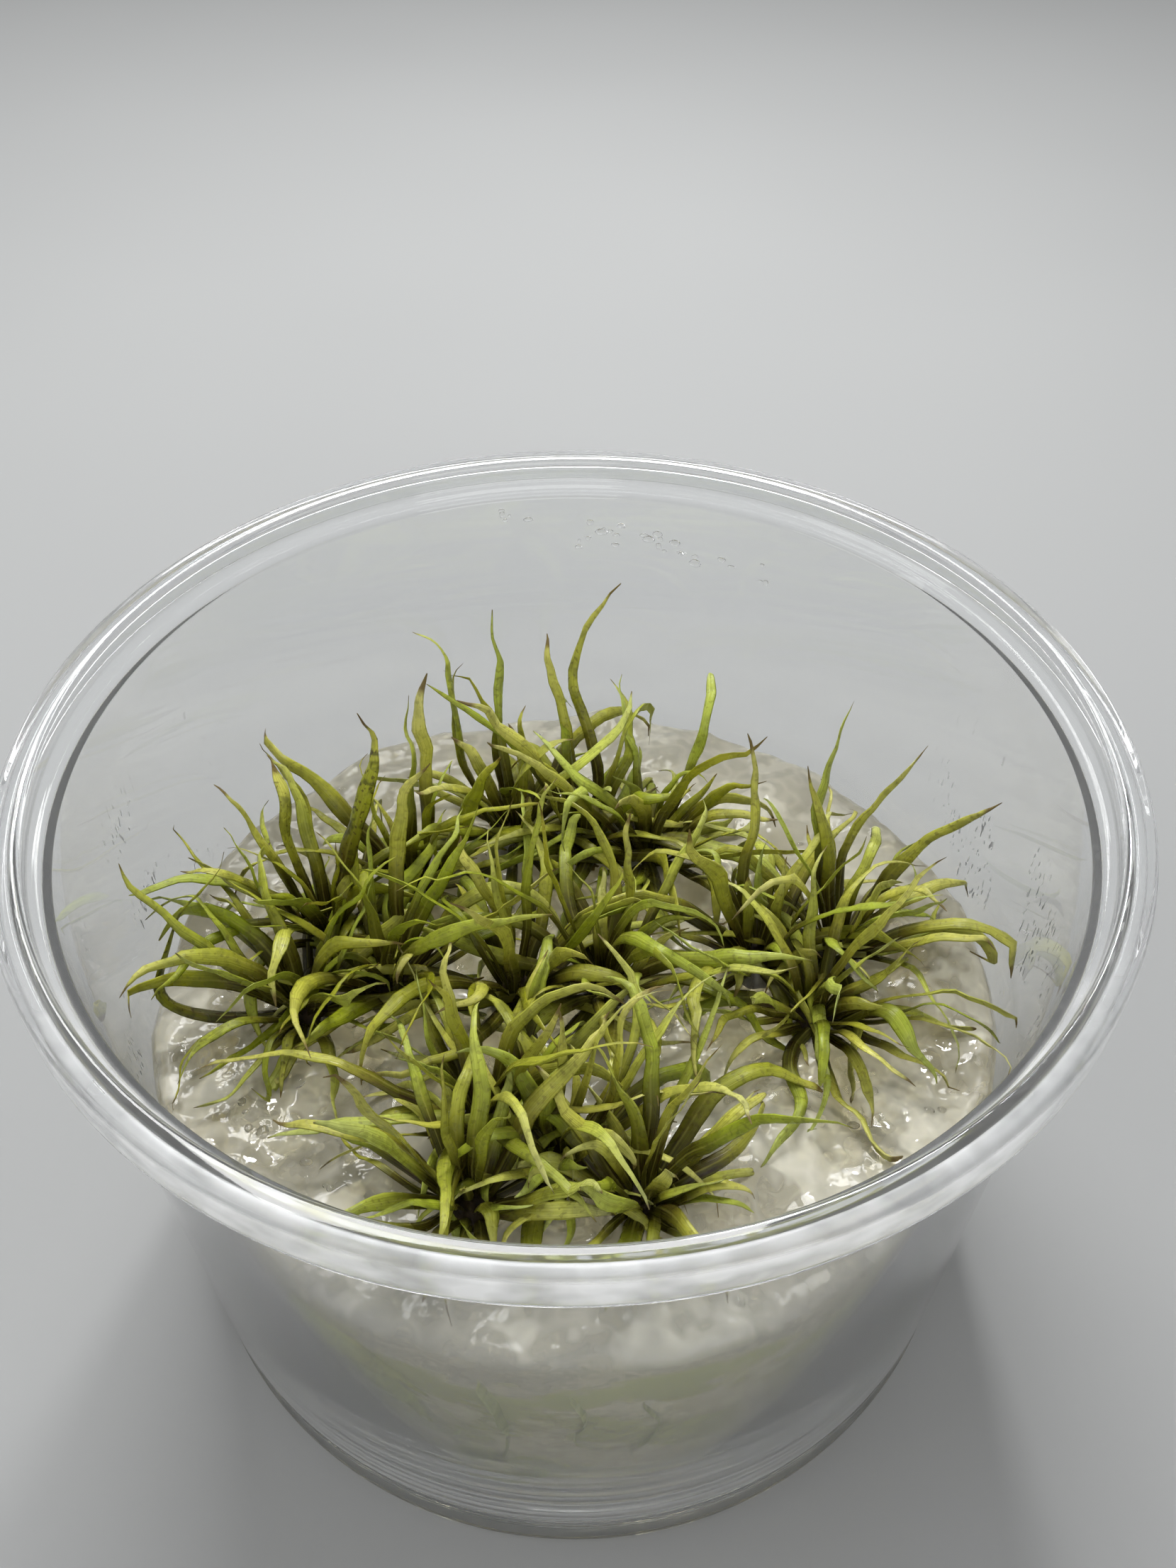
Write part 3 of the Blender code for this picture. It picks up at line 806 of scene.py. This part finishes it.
def leafFinish(name, look):
    fixed = {"Specular IOR Level": 0.27, "Roughness": 0.35}
    made, graph, shader, place = newMaterial(name, fixed)
    along = graph.value("along")
    across = graph.value("across")
    pale = graph.value("pale")
    age = graph.value("age")
    young = graph.ramp(along, look["young"])
    light = graph.ramp(along, look["light"])
    body = graph.mix(pale, young, light)
    chance = (pale * 61.0).wave()          # one value from -1 to 1 for each leaf
    body = graph.mix(chance.clamped() * 0.75, body, look["green"], "MULTIPLY")
    warm = (0 - chance).clamped() * 0.6
    body = graph.mix(warm, body, look["warm"], "MULTIPLY")
    # The foot of each leaf darkens to near black: partly the leaves' real brown base, partly painted shade of
    # the dense clump cores
    foot = 1 - along.above(0.12 + chance.size() * 0.22, 0.18)
    body = graph.mix(foot * 0.93, body, look["foot"])
    veinPlace = graph.node("ShaderNodeCombineXYZ", {},
                           {"X": across * 7.0, "Y": along * 1.6, "Z": pale * 9.0})
    veins = graph.noise(veinPlace, 1.6, 1.0)
    body = graph.mix(veins.above(0.42, 0.25) * 0.45, body, look["vein"])
    mottle = graph.noise(place, 420.0, 1.0, 0.6).above(0.46, 0.2)
    body = graph.mix(mottle * 0.22, body, look["vein"])
    rib = 1 - across.size().above(0.02, 0.16)
    body = graph.mix(rib * 0.35 * (1 - along), body, look["rib"])
    blotch = graph.noise(place, 700.0, 2.0, 0.6).above(0.47, 0.12) * (age + 0.25)
    body = graph.mix(blotch * 0.6, body, look["blotch"])
    rusty = graph.noise(veinPlace, 3.0, 1.0).above(0.58, 0.08) * (age * 0.55 + 0.05)
    body = graph.mix(rusty, body, look["rust"])
    specks = graph.noise(place, 2600.0, 0.0).above(0.66, 0.04) * (0.2 + age * 0.5)
    body = graph.mix(specks, body, look["speck"])
    tip = along.above(0.94 + chance * 0.035, 0.03)
    body = graph.mix(tip * 0.8, body, look["tip"])
    rough = 0.22 + mottle * 0.22
    ridges = graph.node("ShaderNodeCombineXYZ", {}, {"X": across * 16.0, "Y": along * 3.0, "Z": pale})
    relief = graph.noise(ridges, 1.0, 1.0) * 0.7 + graph.noise(place, 1200.0, 1.0) * 0.5
    feed(graph, shader, colour=body, roughness=rough, normal=graph.bump(relief, 0.45, 0.00022))
    return made


# The darkest first stops of the young and light ramps, and the near-black foot, are partly the leaves' real
# brown base and partly painted shade of the dense clump cores
leafLook = {
    "young": [(0.0, (0.016, 0.008, 0.004)), (0.18, (0.044, 0.026, 0.007)), (0.34, (0.121, 0.105, 0.008)),
              (0.52, (0.252, 0.272, 0.012)), (0.75, (0.384, 0.403, 0.021)), (1.0, (0.524, 0.494, 0.060))],
    "light": [(0.0, (0.029, 0.016, 0.010)), (0.18, (0.121, 0.081, 0.020)), (0.34, (0.384, 0.363, 0.041)),
              (0.6, (0.637, 0.650, 0.122)), (0.85, (0.660, 0.660, 0.227)), (1.0, (0.660, 0.660, 0.300))],
    "green": (0.74, 0.90, 0.50, 1.0),
    "warm": (1.0, 0.91, 0.74, 1.0),
    "foot": (0.028, 0.014, 0.005, 1.0),
    "rust": (0.13, 0.07, 0.015, 1.0),
    "vein": (0.17, 0.19, 0.006, 1.0),
    "rib": (0.58, 0.55, 0.12, 1.0),
    "blotch": (0.045, 0.05, 0.010, 1.0),
    "speck": (0.05, 0.028, 0.010, 1.0),
    "tip": (0.09, 0.04, 0.015, 1.0),
}


sunkLook = {
    **leafLook,          # pale all the way, without the dark foot (brown base and painted core shade) of the leaves above
    "young": [(0.0, (0.26, 0.28, 0.05)), (1.0, (0.34, 0.37, 0.07))],
    "light": [(0.0, (0.36, 0.39, 0.10)), (1.0, (0.46, 0.48, 0.15))],
    "foot": (0.40, 0.42, 0.15, 1.0),
    "vein": (0.30, 0.33, 0.09, 1.0),
}


def growOuterLeaves(tree, material):
    counts = dict.fromkeys(rosettes, 0)
    for order, (rosette, tip, arch, width, pale, age) in enumerate(outerLeaves):
        x, y = rosettes[rosette]
        aim = arch if isinstance(arch, tuple) else tip
        heading = math.atan2(aim[1] - y, aim[0] - x)
        start = (x + blade["start"] * math.cos(heading), y + blade["start"] * math.sin(heading),
                 gelTop(x, y) + blade["startHeight"])
        counts[rosette] += 1
        name = f"blade_{rosette}_{counts[rosette]}"
        twist = scatter(order + 0.5, -blade["twist"], blade["twist"])
        line = archedLine(start, tip, arch, order)
        source = bladeCurve(name, [(line, blade["slimness"] * width, twist)])
        values = {"Paleness": pale, "Paleness Spread": 0.0, "Age": age, "Seed": order, "Finish": material}
        piece = baked(source, tree, values)
        hand(piece, "leaf", f"leaf_{rosette}_{counts[rosette]}")
    print("outer leaves grown:", len(outerLeaves))


def heartShare(x, y, number, heading):  # of the length, for the leaf's place in the cup
    share = 1.0
    longer, front, back = heart["longer"], heart["front"], heart["back"]
    if number % longer["every"] == longer["first"] and math.hypot(x, y) < longer["within"]:
        share *= longer["share"]
    if y < front["before"] and math.sin(heading) < front["heading"]:
        share *= front["share"]
    if y > back["behind"] and math.sin(heading) > back["heading"] and number > back["after"]:
        share *= back["share"]
    return share


def heartLines(rosette, order):
    x, y = rosettes[rosette]
    ground = gelTop(x, y)
    near, farther = heart["away"]
    lines = []
    for number in range(heart["leaves"]):
        seed = number + 31 * order
        heading = goldenAngle * number + scatter(seed, -heart["headingSpread"], heart["headingSpread"])
        lean = heart["lean"] + heart["leanStep"] * number
        lean = math.radians(lean + scatter(seed + 0.3, -heart["leanSpread"], heart["leanSpread"]))
        droop = math.radians(scatter(seed + 0.4, *heart["droop"]))
        hooked = scatter(seed + 0.5, 0.0, 1.0) < heart["hookedShare"]
        hook = math.radians(scatter(seed + 0.15, *heart["hook"])) if hooked else 0.0
        turn = scatter(seed + 0.25, -heart["turn"], heart["turn"])
        length = scatter(seed + 0.6, *heart["length"]) * clumpHeight[rosette.split("_")[0]]
        length *= heartShare(x, y, number, heading)
        away = near + farther * number / heart["leaves"]
        start = (x + away * math.cos(heading), y + away * math.sin(heading), ground + heart["startHeight"])
        line = wanderingLine(start, heading, lean, droop, hook, turn, length, seed)
        width = scatter(seed + 0.8, *heart["width"])
        lines.append((line, width, scatter(seed + 0.9, -heart["twist"], heart["twist"])))
    return lines


def growPlantlets(tree, material, stockMaterial):
    for order, rosette in enumerate(rosettes):
        source = bladeCurve(f"heart_{rosette}", heartLines(rosette, order))
        values = {"Paleness": clumpPaleness[rosette.split("_")[0]], "Paleness Spread": heart["paleSpread"],
                  "Age": heart["age"], "Seed": heart["seed"] + order, "Finish": material}
        piece = baked(source, tree, values)
        hand(piece, "leaf_heart", f"plantlet_{rosette}")
        makeStock(rosette, order, stockMaterial)
    print("plantlets grown:", len(rosettes))


# Leaves sunk in the jelly behind the front wall

sunkLeaves = (  # places along the leaf as (degrees round the cup, height), depth and width
    (((-131, 12.0), (-121, 18.0), (-110, 19.5), (-97, 18.0)), 1.6, 1.3),
    (((-113, 11.5), (-104, 11.0), (-95, 15.0), (-88, 21.0)), 1.9, 1.2),
    (((-124, 37.5), (-117, 37.0), (-111, 35.0), (-106, 30.0)), 1.8, 2.6),
    (((-120, 35.5), (-112, 33.0), (-107, 27.0), (-105, 20.0)), 2.6, 2.2),
    (((-100, 37.0), (-98, 33.0), (-97, 27.0), (-99, 20.0)), 2.3, 1.9),
    (((-90, 36.0), (-88, 31.0), (-89, 26.0), (-84, 24.0)), 2.2, 1.6),
    (((-116, 26.0), (-108, 22.0), (-103, 25.0), (-107, 30.0)), 2.6, 1.1),
    (((-128, 30.0), (-122, 27.0), (-118, 22.0), (-117, 16.0)), 2.2, 1.7),
    (((-82, 33.0), (-80, 28.0), (-83, 22.0), (-80, 17.0)), 3.0, 1.5),
)


sunken = {
    "points": 22,
    "offWall": 0.75,
    "deeper": 0.2,       # for each step of depth
    "twist": 0.6,
    "paleness": 0.6,
    "paleSpread": 0.3,
    "seed": 900,
}


def curveThrough(places, count):  # a smooth run through four points
    line = []
    padded = [places[0], *places, places[-1]]
    spans = len(places) - 1
    for step in range(count):
        spot = min(step / (count - 1) * spans, spans - 1e-6)
        first = int(spot)
        share = spot - first
        a, b, c, d = [Vector(place) for place in padded[first:first + 4]]
        line.append(0.5 * (2 * b + (c - a) * share + (2 * a - 5 * b + 4 * c - d) * share ** 2
                           + (3 * b - a - 3 * c + d) * share ** 3))
    return line


def sinkLeaves(tree, material):
    lines = []
    for order, (places, depth, width) in enumerate(sunkLeaves):
        points = []
        for turn, level in curveThrough(places, sunken["points"]):
            radius = innerRadius(level) - sunken["offWall"] - sunken["deeper"] * depth
            turn = math.radians(turn)
            points.append(Vector((radius * math.cos(turn), radius * math.sin(turn), level)))
        lines.append((points, width, scatter(order, -sunken["twist"], sunken["twist"])))
    source = bladeCurve("sunkLeaves", lines)
    values = {"Paleness": sunken["paleness"], "Paleness Spread": sunken["paleSpread"], "Age": 0.0,
              "Seed": sunken["seed"], "Finish": material}
    hand(baked(source, tree, values), "leaf_heart")
    print("leaves sunk in the jelly:", len(sunkLeaves))


# Stocks, the brown ribbed bases of the plantlets

stock = {
    "profile": ((0.0, 2.2), (0.9, 2.1), (1.6, 1.7), (2.2, 1.1), (2.5, 0.2), (2.55, -0.8), (2.2, -2.0),
                (1.5, -3.2), (0.7, -4.0), (0.0, -4.3)),   # radius and height over the jelly
    "sides": 28,
    "ribs": 7,
    "ribDepth": 0.09,
    "fineRibs": 17,
    "fineDepth": 0.03,
}


def stockFinish():
    made, graph, shader, place = newMaterial("stockSkin", {"Roughness": 0.6, "Specular IOR Level": 0.2})
    streaks = graph.noise(graph.stretched(place, (1600.0, 1600.0, 300.0)), 1.0, 3.0)
    colour = graph.ramp(streaks, [(0.3, (0.010, 0.006, 0.003)), (0.6, (0.030, 0.018, 0.006)),
                                  (0.8, (0.07, 0.055, 0.012))])
    feed(graph, shader, colour=colour, normal=graph.bump(streaks, 0.7, 0.0003))
    return made


def makeStock(rosette, order, material):
    x, y = rosettes[rosette]
    points, faces = turned(stock["profile"], stock["sides"])
    shaped = []
    for px, py, pz in points:
        turn = math.atan2(py, px)
        ribs = 1.0 + stock["ribDepth"] * math.sin(stock["ribs"] * turn + order)
        ribs += stock["fineDepth"] * math.sin(stock["fineRibs"] * turn + 2.0 * pz)
        shaped.append((x + px * ribs, y + py * ribs, gelTop(x, y) + pz))
    piece = meshPiece(f"stock_{rosette}", shaped, faces, material)
    hand(piece, "leaf_heart", f"plantlet_{rosette}")


# Water drops on the wall and beads on the jelly

drops = {
    "patches": (  # from and to in degrees round the cup, from and to in height, and how many
        (97, 101, 62.5, 64.0, 5),
        (74, 90, 58.5, 62.0, 18),
        (60, 75, 57.0, 60.0, 8),
    ),
    "size": (0.22, 0.62),
    "sunk": 0.25,        # of the size, into the wall
    "flatness": 0.28,
    "tallness": (0.55, 1.0),
    "unevenness": 0.3,
}

beads = {
    "count": 90,
    "spread": (0.02, 0.86),   # of the jelly's top
    "size": (0.25, 0.75),
    "width": (0.6, 1.4),
    "flatness": 0.35,
    "lift": 0.05,
}


def waterFinish():
    fixed = {"Base Color": (1.0, 1.0, 1.0, 1.0), "Transmission Weight": 1.0, "IOR": 1.33, "Roughness": 0.02}
    made, graph, shader, place = newMaterial("waterDrops", fixed)
    feed(graph, shader, roughness=0.02 + graph.noise(place, 800.0) * 0.05)
    return made


def newBall(flat):
    return bmesh.ops.create_icosphere(flat, subdivisions=2, radius=1.0)["verts"]


def makeDrops(material):
    flat = bmesh.new()
    seed = 0
    for low, high, bottom, top, count in drops["patches"]:
        for _ in range(count):
            seed += 1
            turn = math.radians(scatter(seed, low, high))
            level = scatter(seed + 0.3, bottom, top)
            size = scatter(seed + 0.6, *drops["size"])
            tall = scatter(seed + 0.8, *drops["tallness"])
            wall = innerRadius(level) - drops["sunk"] * size
            for vert in newBall(flat):
                out = vert.co.x * drops["flatness"] * size
                aside = vert.co.y * size * (1.0 + drops["unevenness"] * math.sin(seed + 2 * vert.co.z))
                up = vert.co.z * size * tall
                vert.co = Vector((
                    (wall + out) * math.cos(turn) - aside * math.sin(turn),
                    (wall + out) * math.sin(turn) + aside * math.cos(turn),
                    level + up)) * mm
    for bead in range(beads["count"]):
        turn = scatter(bead + 0.1, 0.0, 2.0 * math.pi)
        reach = gel["radius"] * math.sqrt(scatter(bead + 0.2, *beads["spread"]))
        x = reach * math.cos(turn)
        y = reach * math.sin(turn)
        ground = surfaceHeight(x, y, reach) + beads["lift"]
        size = scatter(bead + 0.3, *beads["size"])
        width = scatter(bead + 0.4, *beads["width"])
        for vert in newBall(flat):
            vert.co = Vector((
                x + vert.co.x * size,
                y + vert.co.y * size * width,
                ground + vert.co.z * beads["flatness"] * size)) * mm
    mesh = bpy.data.meshes.new("wallDrops")
    flat.to_mesh(mesh)
    flat.free()
    mesh.materials.append(material)
    mesh.shade_smooth()
    hand(placed("wallDrops", mesh), "clear_plastic")
    print("drops and beads placed:", seed + beads["count"])


# Floor, light and camera

studio = {
    "focal": 1900.0,              # of the photograph, in pixels
    "tall": 2212.0,
    "camera": (1.33, -88.28, 149.78),
    "lookDown": 44.31,
    "sensor": 36.0,
    "nearest": 0.005,
    "sky": [(0.0, (0.60, 0.62, 0.64)), (0.35, (0.85, 0.86, 0.87)), (0.8, (1.0, 1.0, 1.0))],
    "skyStrength": 0.50,
    "floor": (0.31, 0.315, 0.315),
    "floorVariation": 1.05,
    "floorReach": 1.5,
    "floorLevel": -0.00005,       # just under the foot, so that the two faces don't coincide
    "lamps": (  # name, place, size and power
        ("windowLamp", (-0.06, 0.36, 0.56), 0.26, 3.2),
        ("glintLamp", (0.04, 0.34, 0.38), 0.045, 0.8),
        ("sideLamp", (-0.5, -0.10, 0.45), 0.35, 0.6),
        ("frontLamp", (0.12, -0.52, 0.22), 0.45, 1.5),
    ),
    "lampsFace": (0, 0, 0.03),
    "bounces": 24,                # light runs far inside the clear walls
    "transmissionBounces": 20,
    "glossyBounces": 10,
    "diffuseBounces": 3,
}


def makeTable():
    reach = studio["floorReach"]
    level = studio["floorLevel"]
    mesh = bpy.data.meshes.new("table")
    corners = [(-reach, -reach, level), (reach, -reach, level), (reach, reach, level), (-reach, reach, level)]
    mesh.from_pydata(corners, [], [(0, 1, 2, 3)])
    table = placed("table", mesh)
    made, graph, shader, place = newMaterial("paleTable", {"Roughness": 0.8})
    soft = graph.noise(place, 5.0, 2.0)
    bright = tuple(studio["floorVariation"] * c for c in studio["floor"])
    feed(graph, shader, colour=graph.ramp(soft, [(0.3, studio["floor"]), (0.7, bright)]))
    mesh.materials.append(made)


def setLights():
    world = bpy.data.worlds.new("sky")
    bpy.context.scene.world = world
    world.use_nodes = True
    graph = Graph(world.node_tree)
    ray = graph.node("ShaderNodeTexCoord", out="Generated")
    colour = graph.ramp(graph.part(ray, "Z"), studio["sky"])
    background = world.node_tree.nodes["Background"]
    graph.tree.links.new(colour.socket, background.inputs["Color"])
    background.inputs["Strength"].default_value = studio["skyStrength"]
    for name, spot, size, power in studio["lamps"]:
        lamp = bpy.data.lights.new(name, "AREA")
        lamp.size = size
        lamp.energy = power
        holder = placed(name, lamp)
        holder.location = spot
        facing = Vector(studio["lampsFace"]) - Vector(spot)
        holder.rotation_euler = facing.to_track_quat("-Z", "Y").to_euler()
    scene = bpy.context.scene
    scene.view_settings.view_transform = "Standard"
    scene.cycles.max_bounces = studio["bounces"]
    scene.cycles.transmission_bounces = studio["transmissionBounces"]
    scene.cycles.glossy_bounces = studio["glossyBounces"]
    scene.cycles.diffuse_bounces = studio["diffuseBounces"]
    scene.cycles.use_light_tree = False    # quicker with so few lamps
    print("table, sky and lamps set:", len(studio["lamps"]))


def setCamera():
    lens = bpy.data.cameras.new("camera")
    lens.sensor_width = studio["sensor"]
    lens.lens = studio["focal"] * lens.sensor_width / studio["tall"]
    lens.clip_start = studio["nearest"]
    camera = placed("camera", lens)
    camera.location = Vector(studio["camera"]) * mm
    camera.rotation_euler = (math.radians(90.0 - studio["lookDown"]), 0.0, 0.0)
    bpy.context.scene.camera = camera
    print("camera set")


setCamera()
makeTable()
setLights()
makeCup(plasticFinish())
makeGel(jellyFinish())
growth = bladeTree()
leafSkin = leafFinish("leafSkin", leafLook)
growOuterLeaves(growth, leafSkin)
growPlantlets(growth, leafSkin, stockFinish())
sinkLeaves(growth, leafFinish("sunkSkin", sunkLook))
makeDrops(waterFinish())
